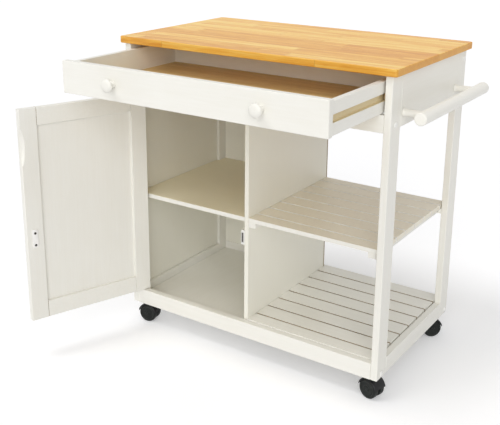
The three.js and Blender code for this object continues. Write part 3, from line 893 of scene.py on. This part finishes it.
# magnetic catch: a white case round two steel poles and a dark magnet
catchShape = {
    "setBack": 0.0018, "edge": 0.0018, "depth": 0.004, "innerEdge": 0.0003,
    "poleShares": (0.3, 0.7), "poleWidth": 0.0016, "poleEnds": 0.007,
    "magnetShares": (0.37, 0.63), "magnetSetBack": 0.0008, "magnetEnds": 0.008,
}
low, high = nodeBox("door_catch")
caseLow = (low[0], low[1] + catchShape["setBack"], low[2])
boardPiece("door_catch_case", caseLow, high, "cart", catchShape["edge"], "Z",
           whitePlasticAndHighlight, replaced=["door_catch"])
span, deep = high[0] - low[0], low[1] + catchShape["depth"]
half, edge = catchShape["poleWidth"] / 2, catchShape["innerEdge"]
for number, share in enumerate(catchShape["poleShares"]):
    x = low[0] + span * share
    poleLow = (x - half, low[1], low[2] + catchShape["poleEnds"])
    poleHigh = (x + half, deep, high[2] - catchShape["poleEnds"])
    boardPiece(f"door_catch_pole_{number + 1}", poleLow, poleHigh, "cart", edge, "Z", zincSteel)
magnetLeft, magnetRight = [low[0] + span * share for share in catchShape["magnetShares"]]
magnetLow = (magnetLeft, low[1] + catchShape["magnetSetBack"], low[2] + catchShape["magnetEnds"])
magnetHigh = (magnetRight, deep, high[2] - catchShape["magnetEnds"])
boardPiece("door_catch_magnet", magnetLow, magnetHigh, "cart", edge, "Z", darkSteel)
print("fittings made")

# twin-wheel casters; the wheel's profile is (radius, distance from its inner face)
wheelShape = {"radius": 0.027, "inner": 0.0035, "ease": 0.0006, "easeSteps": 2, "around": 72}
wheelProfile = [
    (0.0, 0.004), (0.004, 0.004), (0.0045, 0.0), (0.0235, 0.0), (0.0255, 0.0006), (0.0268, 0.0022),
    (0.0270, 0.0045), (0.0270, 0.0068), (0.0264, 0.0074), (0.0264, 0.0082), (0.0270, 0.0088),
    (0.0270, 0.0118), (0.0265, 0.0142), (0.0250, 0.0160), (0.0228, 0.0169), (0.0205, 0.0168),
    (0.0196, 0.0152), (0.0185, 0.0146), (0.0090, 0.0158), (0.0076, 0.0150), (0.0070, 0.0152),
    (0.0064, 0.0166), (0.0040, 0.0170), (0.0, 0.0170),
]
hoodShape = {
    "gap": 0.0012, "wall": 0.0026, "half": 0.0215, "sill": 0.007, "shoulder": 0.0035,
    "lip": 0.0005, "innerLip": 0.0028, "bendSteps": 6, "arcSteps": 40,
}
bossShape = {
    "radius": 0.013, "top": 0.0697, "foot": 0.0565, "collar": 0.003, "ease": 0.001,
    "footFlare": 0.001, "midFlare": 0.0006, "midDrop": 0.012,
    "waistDepth": 0.001, "waistDrops": (0.009, 0.004),
}
webShape = {
    "thickness": 0.006, "discRadius": 0.012, "discEase": 0.0006,
    "stemHalf": 0.011, "stemFoot": 0.004, "stemTop": 0.029, "stemEdge": 0.001,
    "axleRadius": 0.003, "axleHalf": 0.014,
}

def hoodSurface():
    # shell over the wheels: a section of (distance from the axle, place along it) with rounded shoulders,
    # outside then inside, carried round the axle: a point is (distance * cos(angle), place, distance *
    # sin(angle)), and angle runs over the top from one sill to the other
    inner = wheelShape["radius"] + hoodShape["gap"]
    outer = inner + hoodShape["wall"]
    half, shoulder = hoodShape["half"], hoodShape["shoulder"]
    bend = np.linspace(0, math.pi / 2, hoodShape["bendSteps"])
    low = outer - shoulder
    outSide = [(low + shoulder * math.sin(a), -half + shoulder - shoulder * math.cos(a)) for a in bend]
    outSide += [(low + shoulder * math.cos(a), half - shoulder + shoulder * math.sin(a)) for a in bend]
    lip, innerLip = half - hoodShape["lip"], half - hoodShape["innerLip"]
    inSide = [(low, lip), (inner, innerLip), (inner, -innerLip), (low, -lip)]
    loop = np.array(outSide + inSide)
    start = math.asin(hoodShape["sill"] / outer)
    angle = np.linspace(start, math.pi - start, hoodShape["arcSteps"])
    points = np.empty((len(angle), len(loop), 3))
    points[..., 0] = loop[:, 0] * np.cos(angle)[:, None]
    points[..., 1] = loop[:, 1]
    points[..., 2] = loop[:, 0] * np.sin(angle)[:, None]
    return gridSurface(points)[:2]

def bossSurface():
    # the boss round the stem, turned, with a waist under its collar
    radius, top = bossShape["radius"], bossShape["top"]
    waist = radius - bossShape["waistDepth"]
    profile = [(0, bossShape["foot"]), (radius + bossShape["footFlare"], bossShape["foot"]),
               (radius + bossShape["midFlare"], top - bossShape["midDrop"])]
    profile += [(waist, top - drop) for drop in bossShape["waistDrops"]]
    profile += [(radius, top - bossShape["collar"]), (radius, top), (0, top)]
    return turned(smoothProfile(profile, bossShape["ease"]), around=48)

def hoodParts(atAxle, atPivot):
    # shell, the web's disc and stem between the wheels, the axle, and the boss
    half = webShape["thickness"] / 2
    disc = smoothProfile(rodProfile(webShape["discRadius"], -half, half), webShape["discEase"])
    stemLow = (-webShape["stemHalf"], -half, webShape["stemFoot"])
    stemHigh = (webShape["stemHalf"], half, webShape["stemTop"])
    stem = roundedSlab(stemLow, stemHigh, webShape["stemEdge"], webShape["stemEdge"])[:2]
    axle = rodProfile(webShape["axleRadius"], -webShape["axleHalf"], webShape["axleHalf"])
    lying = atAxle @ turnAbout("X", -90)
    parts = [(hoodSurface(), atAxle), (turned(disc, around=40), lying), (stem, atAxle),
             (turned(axle, around=24), lying), (bossSurface(), atPivot)]
    return [(placed(vertices, matrix), faces) for (vertices, faces), matrix in parts]

wheel = smoothProfile(wheelProfile, wheelShape["ease"], wheelShape["easeSteps"])
for place in ("front_left", "front_right", "back_left", "back_right"):
    roll = jointOf[f"roll_{place}_a"]
    axle = Vector(roll["axis"])
    pivot = Vector(jointOf["swivel_" + place]["pos_m"])
    trail = Vector((axle.y, -axle.x, 0))
    local = Matrix(((trail.x, axle.x, 0, 0), (trail.y, axle.y, 0, 0), (0, 0, 1, 0), (0, 0, 0, 1)))
    atAxle = Matrix.Translation(roll["pos_m"]) @ local
    atPivot = Matrix.Translation((pivot.x, pivot.y, 0)) @ local
    vertices, faces = joined(hoodParts(atAxle, atPivot))
    makePiece(f"caster_{place}_hood", vertices, faces, hoodPlastic, "swivel_" + place,
              ["caster_" + place])
    for letter, way in (("a", 1), ("b", -1)):
        node = f"wheel_{place}_{letter}"
        vertices, faces = turned(wheel, around=wheelShape["around"])
        vertices = vertices + np.array([0, 0, wheelShape["inner"]])
        vertices = placed(vertices, atAxle @ turnAbout("X", -way * 90))
        makePiece(node + "_turned", vertices, faces, wheelPlastic, node, [node])
print("casters made")

# floor, light and camera
stage = {"floorColour": (0.84, 0.84, 0.85), "floorLift": 0.27, "floorHalf": 40, "worldStrength": 0.46}
suns = {
    "keySun": {"strength": 0.95, "angle": 20, "from": (-0.25, -0.42, 1.0)},
    "fillSun": {"strength": 1.36, "angle": 50, "from": (0.46, -0.85, 0.42)},
}

def seenDirectly(tree):
    # 1 for what the camera sees straight, mirrored or through glass, 0 for what only sheds light
    ray = put(tree, "ShaderNodeLightPath").outputs
    mirrored = calc(tree, "MAXIMUM", ray["Is Glossy Ray"], ray["Is Transmission Ray"])
    return calc(tree, "MAXIMUM", ray["Is Camera Ray"], mirrored)

half = stage["floorHalf"]
floorCorners = [(-half, -half, 0), (half, -half, 0), (half, half, 0), (-half, half, 0)]
floorMesh = bpy.data.meshes.new("floor")
floorMesh.from_pydata(floorCorners, [], [(0, 1, 2, 3)])
floor = addObject("floor", floorMesh)
floorMaterial = bpy.data.materials.new("floorPale")
floorMaterial.use_nodes = True
tree = floorMaterial.node_tree
tree.nodes.clear()
lift = calc(tree, "MULTIPLY", seenDirectly(tree), stage["floorLift"])
glow = put(tree, "ShaderNodeEmission", {"Color": (1, 1, 1, 1), "Strength": lift}).outputs[0]
diffuse = put(tree, "ShaderNodeBsdfDiffuse", {"Color": (*stage["floorColour"], 1)}).outputs[0]
both = put(tree, "ShaderNodeAddShader", {0: diffuse, 1: glow}).outputs[0]
put(tree, "ShaderNodeOutputMaterial", {"Surface": both})
floorMesh.materials.append(floorMaterial)

world = bpy.data.worlds.new("studio")
bpy.context.scene.world = world
world.use_nodes = True
tree = world.node_tree
tree.nodes.clear()
brightness = {"Value": seenDirectly(tree), "To Min": stage["worldStrength"], "To Max": 1.0}
strength = put(tree, "ShaderNodeMapRange", brightness).outputs[0]
background = put(tree, "ShaderNodeBackground", {"Color": (1, 1, 1, 1), "Strength": strength}).outputs[0]
put(tree, "ShaderNodeOutputWorld", {"Surface": background})

for name, light in suns.items():
    sunData = bpy.data.lights.new(name, "SUN")
    sunData.energy = light["strength"]
    sunData.angle = math.radians(light["angle"])
    sun = addObject(name, sunData)
    sun.rotation_mode = "QUATERNION"
    sun.rotation_quaternion = Vector(light["from"]).to_track_quat("Z", "Y")

cameraSet = {
    "place": (1.20087, -1.84162, 1.243),
    "yaw": 33.69,
    "pitch": 16.44,
    "roll": -0.43,
    "sensor": 36,
    "focal": 61.344,
    "shiftY": -0.125,
}
cameraData = bpy.data.cameras.new("camera")
cameraData.sensor_width = cameraSet["sensor"]
cameraData.lens = cameraSet["focal"]
cameraData.shift_y = cameraSet["shiftY"]
camera = addObject("camera", cameraData)
aim = turnAbout("Z", cameraSet["yaw"]) @ turnAbout("X", 90 - cameraSet["pitch"])
aim = aim @ turnAbout("Z", -cameraSet["roll"])
camera.matrix_world = Matrix.Translation(cameraSet["place"]) @ aim
bpy.context.scene.camera = camera
bpy.context.scene.view_settings.view_transform = "Standard"
print("floor, light and camera set")
